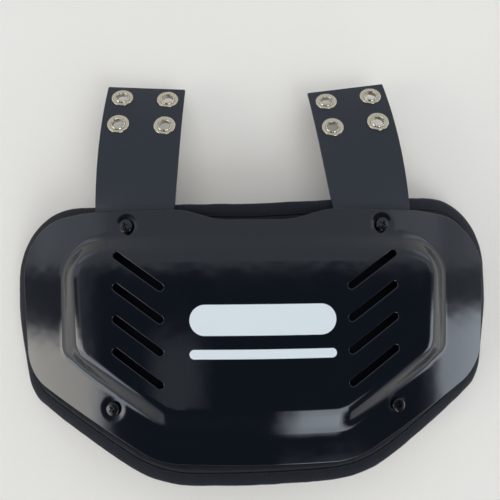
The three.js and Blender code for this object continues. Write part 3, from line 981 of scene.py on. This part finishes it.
class PLATE_OT_eyelets(bpy.types.Operator):
    """Adds the pressed eyelets and their washers"""

    bl_idname = "back_plate.eyelets"
    bl_label = "Eyelets"

    def execute(self, context):
        e, s = plate().eyelets, plate().straps
        hole, barrel, outer, back = e.hole / 2, e.barrel / 2, e.outer / 2, e.back / 2
        rim, under = e.rim, -s.thickness
        section = [
            (outer, 0.00003), (outer, 0.00025), (outer - 0.00015, 0.00048), (outer - 0.0005, 0.00072),
            (outer - 0.0010, 0.00084), (outer - 0.0016, 0.00080), (outer - 0.0021, 0.00064),
            (barrel + 0.00025, 0.00044), (barrel + 0.00005, 0.00042), (barrel - 0.00005, 0.0006),
            (barrel - 0.0002, rim * 0.8), (barrel - 0.0005, rim), (barrel - 0.0008, rim * 0.97),
            (hole + 0.00015, rim * 0.8), (hole, rim * 0.45), (hole, 0), (hole, under),
            (hole + 0.0001, under - 0.0005), (hole + 0.0006, under - 0.0008), (barrel, under - 0.0007),
            (back - 0.0004, under - 0.0006), (back, under - 0.0003), (back, under),
        ]
        sides = 72
        turn = np.linspace(0, 2 * pi, sides, endpoint=False)
        metal = nickel_plate()
        for name, side in SIDES:
            place = strap_place(side)
            for number, spot in enumerate(eyelet_spots(), 1):
                seat = place_frame(place, spot, 0.0)
                phase = 2.4 * number + side
                rings = []
                for row, (radius, height) in enumerate(section):
                    ring = np.full(sides, radius)
                    up = np.full(sides, height)
                    if 10 <= row <= 14:
                        # The pressed collar is dented where its edge split.
                        dent = np.clip(np.cos(8 * turn + phase), 0, None) ** 6
                        up = up - 0.0004 * dent
                        ring = ring + 0.00025 * dent * (row > 11)
                    if row <= 7:
                        up = up + 0.00005 * np.cos(2 * turn + phase)
                    rings.append(np.stack([ring * np.cos(turn), ring * np.sin(turn), up], 1))
                points = seated(np.concatenate(rings), seat)
                faces = [f[::-1] for f in ring_faces(len(section), sides, True)]
                node = f"eyelet_{name}_{number}"
                add_piece(f"pressed_{node}", points, faces, metal, [node])
        return {"FINISHED"}


# Screws


def cross_loop(arm, bar, corner):
    """The outline of a cross recess with rounded corners."""
    outline_points = [
        (arm, -bar), (arm, bar), (bar, bar), (bar, arm), (-bar, arm), (-bar, bar),
        (-arm, bar), (-arm, -bar), (-bar, -bar), (-bar, -arm), (bar, -arm), (bar, -bar),
    ]
    spots = np.array(outline_points)
    turns = [
        rounded_corner(spots[i - 1], spots[i], spots[(i + 1) % len(spots)], corner) for i in range(len(spots))
    ]
    return evenly(np.concatenate(turns), 0.00018)


class PLATE_OT_screws(bpy.types.Operator):
    """Adds the cross-recessed pan head screws"""

    bl_idname = "back_plate.screws"
    bl_label = "Screws"

    def execute(self, context):
        s, wrap = plate().screws, plate().wrap
        head, high = s.head / 2, s.head_height
        mouth = cross_loop(s.recess / 2, s.recess_bar / 2, 0.00018)
        pit = mouth * 0.62
        brow = head * 0.9
        rim = circle((0, 0), brow, 0.0004)
        rings = np.concatenate([circle((0, 0), r, 0.0004) for r in np.arange(0.0004, brow, 0.0004)])
        clear = rings[gap_outside(rings, mouth) > 0.00012]
        plan = np.concatenate([rim, mouth, pit, clear])
        spots, triangles, _ = triangulated(plan, (rim, mouth, pit))
        reach = np.linalg.norm(spots, axis=1)
        dome = high * (0.8 + 0.2 * np.sqrt(np.clip(1 - (reach / brow) ** 2 * 0.9, 0, 1)))
        sunk = gap_outside(spots, mouth * 0.98) < 0
        heights = np.where(sunk, dome - 0.0013, dome)
        top = np.column_stack([spots, heights])
        sides = len(rim)
        turn = np.arctan2(rim[:, 1], rim[:, 0])
        edge_height = heights[np.argmax(reach)]
        rows = [
            (head * 0.96, edge_height - 0.00035), (head, edge_height - 0.0008), (head, 0.0002),
            (head - 0.0002, 0.0), (s.shank / 2, 0.0), (s.shank / 2, -s.shank_length),
        ]
        where = [int(np.argmin(np.linalg.norm(spots - p, axis=1))) for p in rim]
        points = [top]
        faces = [tuple(t) for t in triangles]
        ring = np.array(where)
        total = len(top)
        for radius, height in rows:
            row = [radius * np.cos(turn), radius * np.sin(turn), np.full(sides, height)]
            points.append(np.column_stack(row))
            following = np.arange(total, total + sides)
            faces += strip(ring, following, 1)
            ring = following
            total += sides
        faces.append(tuple(ring[::-1]))
        points = np.concatenate(points)
        radius = ((s.dimple / 2) ** 2 + s.dimple_depth**2) / (2 * s.dimple_depth)
        seat_lift = head**2 / (2 * radius) - s.dimple_depth + wrap.fit_gap
        steel = black_steel()
        # Each screw stopped at a turn of its own.
        for (node, spot), turn in zip(screw_spots().items(), (20, 65, 38, 8)):
            seat = place_frame(on_wrap, spot, seat_lift) @ Matrix.Rotation(radians(turn), 4, "Z")
            add_piece(f"pan_head_{node}", seated(points, seat), faces, steel, [node])
        return {"FINISHED"}


# The pad

# The soft pieces stay this far off the table.
OFF_TABLE = 0.00005


def pad_outline():
    """The pad's outline, turned and shifted as it lies under the shell."""
    p, s = plate().pad, plate().shell
    loop = outline(PAD_CORNERS, p.width, p.bottom, p.top)
    middle = np.array([0, (s.panel_top + s.panel_bottom) / 2])
    turn = np.array([[cos(p.twist), -sin(p.twist)], [sin(p.twist), cos(p.twist)]])
    return (loop - middle) @ turn.T + middle + (p.shift, 0)


def under_strap(plan, side):
    """How much each point lies under a strap, from 0 to 1, and how far the strap has dropped there."""
    s = plate().straps
    ahead, sideways, base = strap_facts(side)
    away = plan - base
    across, along = away @ sideways, away @ ahead - s.covered
    within = np.minimum(s.width / 2 - np.abs(across), along + s.tuck + s.covered)
    return smooth(within, -0.003, 0.0), strap_path(np.clip(along, 0, s.reach))[1]


def strap_bed(plan, lift):
    """Lowers a soft face where a strap lies on it."""
    under = strap_face() - plate().straps.thickness - plate().wrap.fit_gap
    for _, side in SIDES:
        covered, drop = under_strap(plan, side)
        lift = lift + (np.minimum(lift, under - drop) - lift) * covered
    return lift


def rumple(plan, size, seed):
    """Uneven cloth: noise from -1 to 1 whose waves are about size metres wide."""
    return np.array([noise.noise(Vector((x / size, y / size, seed))) for x, y in plan])


class PLATE_OT_pad(bpy.types.Operator):
    """Adds the foam pad, pinched towards the seam round its edge"""

    bl_idname = "back_plate.pad"
    bl_label = "Pad"

    def execute(self, context):
        p, s = plate().pad, plate().shell
        edge = evenly(pad_outline(), 0.003)
        cover = shell_edge()
        middle = np.array([p.shift, (s.panel_top + s.panel_bottom) / 2])
        gap = plate().wrap.fit_gap
        # Rows lie close near the seam, where the face is pinched, and then run in to the middle.
        insets = [0.0, 0.0008, 0.0018, 0.003, 0.0045, 0.006, 0.0075, 0.009, 0.011, 0.0135, 0.0165]
        plans = [(inset(edge, p.binding_width + p.seam_gap + d), d) for d in insets]
        inner = plans[-1][0]
        plans += [(middle + (inner - middle) * share, insets[-1]) for share in np.arange(0.97, 0.02, -0.03)]
        face = -(s.wall + gap)
        tops, bottoms, holds = [], [], []
        for plan, d in plans:
            pinch = p.pinch * max(0.0, 1 - d / p.pinch_width) ** 2 + 0.0007 * max(0.0, 1 - d / 0.0015)
            clear = smooth(gap_outside(plan, cover), 0.0, 0.004) * min(1, d / 0.004)
            waves = 0.0009 * clear + 0.0002 * rumple(plan, 0.011, 3.0) * clear
            tops.append(on_wrap(plan, strap_bed(plan, face - pinch + waves)))
            puff = 0.0006 * rumple(plan, 0.05, 7.0) * min(1, d / 0.01)
            bottoms.append(on_wrap(plan, face - p.thickness + pinch + puff))
            straps = sum(under_strap(plan, side)[0] for _, side in SIDES)
            sewn = 1.0 if d < 0.001 else 0.0
            holds.append((np.clip(1 - clear + straps, sewn, 1), np.full(len(plan), sewn)))
        count = len(edge)
        rings = tops[::-1] + bottoms
        points = np.concatenate([*rings, tops[-1].mean(0)[None], bottoms[-1].mean(0)[None]])
        held = np.concatenate([*[h[0] for h in holds[::-1]], *[h[1] for h in holds], [1.0, 0.0]])
        faces = ring_faces(len(rings), count, False)
        top, bottom = len(points) - 2, len(points) - 1
        last = (len(rings) - 1) * count
        for i in range(count):
            j = (i + 1) % count
            faces.append((top, i, j))
            faces.append((bottom, last + j, last + i))
        lay = points[:, :2]
        piece = add_piece("foam_pad", points, faces, woven_polyester(), ["pad"], None, lay)
        swell(piece, held)
        return {"FINISHED"}


CLOTH_FRAMES = 20
MOST_SWELL = 0.0016


def swell(piece, held):
    """Blows a cover out against its seams as cloth, each point by no more than the most allowed."""
    scene = bpy.context.scene
    group = piece.vertex_groups.new(name="held")
    for i, weight in enumerate(held):
        group.add([i], float(weight), "REPLACE")
    cloth = piece.modifiers.new("cover", "CLOTH")
    fabric = cloth.settings
    fabric.quality = 5
    fabric.mass = 0.15
    fabric.tension_stiffness = fabric.compression_stiffness = 12
    fabric.bending_stiffness = 0.3
    fabric.shrink_min = -0.03
    fabric.use_pressure = True
    fabric.uniform_pressure_force = 4
    fabric.vertex_group_mass = group.name
    fabric.effector_weights.gravity = 0
    cloth.collision_settings.use_collision = False
    cloth.point_cache.frame_end = CLOTH_FRAMES
    for number in range(1, CLOTH_FRAMES + 1):
        scene.frame_set(number)
    blown = piece.evaluated_get(bpy.context.evaluated_depsgraph_get()).data
    before, after = (np.empty(len(held) * 3) for _ in range(2))
    piece.data.vertices.foreach_get("co", before)
    blown.vertices.foreach_get("co", after)
    before, after = before.reshape(-1, 3), after.reshape(-1, 3)
    moved = after - before
    reach = np.linalg.norm(moved, axis=1, keepdims=True)
    share = MOST_SWELL * np.tanh(reach / MOST_SWELL) / np.maximum(reach, 1e-9)
    settled = before + moved * share * (1 - held[:, None])
    settled[:, 2] = np.maximum(settled[:, 2], OFF_TABLE)
    piece.modifiers.remove(cloth)
    piece.vertex_groups.remove(group)
    piece.data.vertices.foreach_set("co", settled.ravel())
    piece.data.update()
    scene.frame_set(1)


TAPE_SECTION = (
    (1.0, 0.5), (0.985, 0.68), (0.95, 0.8), (0.88, 0.8), (0.8, 0.87), (0.68, 0.95), (0.5, 1.0),
    (0.32, 0.97), (0.18, 0.85), (0.08, 0.64), (0.02, 0.34), (0.0, 0.0), (0.02, -0.34), (0.08, -0.64),
    (0.18, -0.85), (0.32, -0.97), (0.5, -1.0), (0.68, -0.95), (0.8, -0.87), (0.88, -0.84), (0.95, -0.86),
    (0.985, -0.78), (1.0, -0.66),
)


def tape_lift(share):
    """Height over the wrap of a share of the tape's half thickness, from its middle."""
    p, s = plate().pad, plate().shell
    centre = -(s.wall + plate().wrap.fit_gap + p.thickness / 2 + p.binding_droop)
    return centre + share * p.binding_thickness / 2


class PLATE_OT_binding(bpy.types.Operator):
    """Adds the tape that is folded and sewn round the pad's edge, and its stitches"""

    bl_idname = "back_plate.binding"
    bl_label = "Binding"

    def execute(self, context):
        p = plate().pad
        edge = pad_outline()
        count = len(edge)
        along = lengths_along(edge)
        ripple = 0.00022 * rumple(edge, 0.013, 1.0) + 0.0001 * rumple(edge, 0.0045, 2.0)
        rings, lay = [], []
        for share, high in TAPE_SECTION:
            plan = inset(edge, share * p.binding_width + (1 - share) * ripple * 1.5)
            lift = tape_lift(high) + ripple * np.sign(high) * (1 - abs(2 * share - 1))
            rings.append(on_wrap(plan, strap_bed(plan, lift) if high > 0 else lift))
            side = 1 if high > 0 else -1
            lay.append(np.column_stack([along, np.full(count, share * p.binding_width * side)]))
        points = np.concatenate(rings)
        points[:, 2] = np.maximum(points[:, 2], OFF_TABLE)
        faces = [f[::-1] for f in ring_faces(len(rings), count, True)]
        piece = add_piece(
            "binding_tape", points, faces, grosgrain_tape(), ["pad_binding"], None,
            np.concatenate(lay),
        )
        add_stitches(edge, ripple)
        return {"FINISHED"}


def add_stitches(edge, ripple):
    """A row of stitches on each face of the tape, near its inner edge"""
    p = plate().pad
    seam = inset(edge, p.binding_width * 0.88)
    closed = np.concatenate([seam, seam[:1]])
    along = lengths_along(closed)
    number = int(along[-1] / p.stitch)
    shares = np.array([0.03, 0.12, 0.3, 0.5, 0.7, 0.88, 0.97])
    heights = np.array([-0.0004, 0.0, 0.00022, 0.00028, 0.00022, 0.0, -0.0004])
    sides = 6
    turn = np.linspace(0, 2 * pi, sides, endpoint=False)
    points, faces = [], []
    for way in (1, -1):
        at = ((np.arange(number)[:, None] + 0.08 + 0.84 * shares) * along[-1] / number).ravel()
        plan = np.stack([np.interp(at, along, closed[:, i]) for i in (0, 1)], 1)
        high = np.tile(heights, number)
        lift = tape_lift(0.84 * way)
        lift = strap_bed(plan, np.full(len(plan), lift)) if way > 0 else np.full(len(plan), lift)
        spine = on_wrap(plan, lift + way * high)
        up = wrap_normal(plan) * way
        ahead = unit(np.gradient(spine.reshape(number, -1, 3), axis=1).reshape(-1, 3))
        aside = unit(np.cross(ahead, up))
        rise = np.cross(aside, ahead)
        round_off = aside[:, None] * np.cos(turn)[:, None] + rise[:, None] * np.sin(turn)[:, None]
        tubes = spine[:, None] + round_off * p.thread / 2
        start = sum(len(q) for q in points)
        tube = len(shares) * sides
        for n in range(number):
            first = start + n * tube
            for f in ring_faces(len(shares), sides, False):
                faces.append(tuple(int(v) + first for v in f))
        points.append(tubes.reshape(-1, 3))
    points = np.concatenate(points)
    points[:, 2] = np.maximum(points[:, 2], 0.00003)
    add_piece("binding_stitches", points, faces, sewing_thread(), [])


# Stage


class PLATE_OT_stage(bpy.types.Operator):
    """Adds the table top, the light and the camera"""

    bl_idname = "back_plate.stage"
    bl_label = "Stage"

    def execute(self, context):
        add_table()
        add_world()
        add_ceiling_light()
        add_camera()
        context.scene.view_settings.view_transform = "Standard"
        return {"FINISHED"}


def add_ceiling_light():
    """A broad soft light overhead, kept out of the glossy shell's reflections."""
    data = bpy.data.lights.new("ceiling_light", "AREA")
    data.shape, data.size, data.energy = "SQUARE", 1.6, 5.0
    light = add_object("ceiling_light", data)
    light.location = (0, 0.15, 1.6)
    light.visible_glossy = False


# The table runs on so far that its edge lies on the horizon in a low view.
TABLE_REACH = 20.0


def add_table():
    mesh = bpy.data.meshes.new("table_top")
    signs = ((-1, -1), (1, -1), (1, 1), (-1, 1))
    corners = [(x * TABLE_REACH, y * TABLE_REACH, 0) for x, y in signs]
    mesh.from_pydata(corners, [], [(0, 1, 2, 3)])
    mesh.materials.append(painted_board())
    table = add_object("table_top", mesh)


Patch = namedtuple("Patch", "left right near far side_blur end_blur light")


def cool(strength):
    return (0.9 * strength, 0.985 * strength, 1.1 * strength)


def warm(strength):
    return (1.04 * strength, strength, 0.93 * strength)


# The studio's surround as seen when lying on the table: angles from straight up, in degrees,
# across and towards the straps. Each patch covers what was there before.
SURROUND = cool(0.78)
PATCHES = (
    Patch(-105, -62, 24, 80, 16, 14, cool(1.6)),
    Patch(62, 105, 24, 80, 16, 14, cool(1.6)),
    Patch(-80, -52, 3, 16, 10, 6, cool(1.2)),
    Patch(50, 70, 3, 16, 10, 6, cool(1.2)),
    Patch(-110, -60, -9, 3, 8, 3, cool(0.25)),
    Patch(60, 110, -5, 3, 8, 3, cool(0.35)),
    Patch(-50, 64, -100, 3.6, 14, 2, cool(0.1)),
    Patch(-110, -50, -46, -8, 8, 5, cool(3.4)),
    Patch(-110, -54, -21, -8, 8, 5, warm(4.8)),
    Patch(67, 110, -34, -5, 6, 5, cool(3.5)),
    Patch(-28, -14, -17, -6, 8, 5, cool(0.55)),
    Patch(12, 38, -110, -26, 12, 10, cool(4.0)),
)


def band(tree, value, low, high, blur):
    """1 between two limits, 0 outside them, with blurred ends."""
    limits = {"Value": value, "To Min": 0.0, "To Max": 1.0}
    masks = []
    for start, end in ((low - blur / 2, low + blur / 2), (high + blur / 2, high - blur / 2)):
        sides = {**limits, "From Min": start, "From Max": end}
        masks.append(add_node(tree, "ShaderNodeMapRange", sides, interpolation_type="SMOOTHSTEP").outputs[0])
    return calc(tree, "MULTIPLY", *masks)


def add_world():
    world = bpy.data.worlds.new("studio")
    world.use_nodes = True
    tree = world.node_tree
    direction = add_node(tree, "ShaderNodeTexCoord").outputs["Generated"]
    x, y, z = add_node(tree, "ShaderNodeSeparateXYZ", {0: direction}).outputs
    away = calc(tree, "SQRT", calc(tree, "ADD", calc(tree, "MULTIPLY", x, x), calc(tree, "MULTIPLY", y, y)))
    turn = calc(tree, "MULTIPLY", calc(tree, "ARCCOSINE", z), 180 / pi)
    share = calc(tree, "DIVIDE", turn, calc(tree, "MAXIMUM", away, 0.0001))
    across, ahead = (calc(tree, "MULTIPLY", part, share) for part in (x, y))
    light = SURROUND
    for p in PATCHES:
        sides = band(tree, across, p.left, p.right, p.side_blur)
        ends = band(tree, ahead, p.near, p.far, p.end_blur)
        mask = calc(tree, "MULTIPLY", sides, ends)
        light = tinted(tree, mask, light, p.light)
    # Seen straight on, beyond the table, the studio is a plain pale backdrop.
    seen = add_node(tree, "ShaderNodeLightPath").outputs["Is Camera Ray"]
    tree.links.new(tinted(tree, seen, light, srgb("e6e6e4")), tree.nodes["Background"].inputs["Color"])
    bpy.context.scene.world = world


def add_camera():
    """A camera over the plate, with the place, tilt and lens fitted to the photograph."""
    data = bpy.data.cameras.new("camera")
    data.sensor_width = 36.0
    data.lens = 40.32
    camera = add_object("camera", data)
    crown = Vector(plate().wrap.crown)
    camera.location = crown + Vector((-0.0124966, 0.0481849, 0.3847853))
    camera.rotation_euler = [radians(v) for v in (2.51266, -1.252, -0.57347)]
    bpy.context.scene.camera = camera


# The add-on

OPERATORS = (
    PLATE_OT_stage,
    PLATE_OT_shell,
    PLATE_OT_pad,
    PLATE_OT_binding,
    PLATE_OT_straps,
    PLATE_OT_eyelets,
    PLATE_OT_screws,
)


class PLATE_PT_panel(bpy.types.Panel):
    """Lists the pieces of the back plate"""

    bl_idname = "PLATE_PT_panel"
    bl_label = "Back Plate"
    bl_space_type = "VIEW_3D"
    bl_region_type = "UI"
    bl_category = "Back Plate"

    def draw(self, context):
        for operator in OPERATORS:
            self.layout.operator(operator.bl_idname)


CLASSES = (
    WrapSizes,
    ShellSizes,
    VentSizes,
    PadSizes,
    StrapSizes,
    EyeletSizes,
    ScrewSizes,
    PlateColours,
    BackPlate,
    *OPERATORS,
    PLATE_PT_panel,
)


def register():
    for cls in CLASSES:
        bpy.utils.register_class(cls)
    bpy.types.Scene.back_plate = PointerProperty(type=BackPlate)


def unregister():
    del bpy.types.Scene.back_plate
    for cls in reversed(CLASSES):
        bpy.utils.unregister_class(cls)


def main():
    register()
    bpy.ops.back_plate.stage()
    bpy.ops.back_plate.shell()
    bpy.ops.back_plate.pad()
    bpy.ops.back_plate.binding()
    bpy.ops.back_plate.straps()
    bpy.ops.back_plate.eyelets()
    bpy.ops.back_plate.screws()


if __name__ == "__main__":
    main()
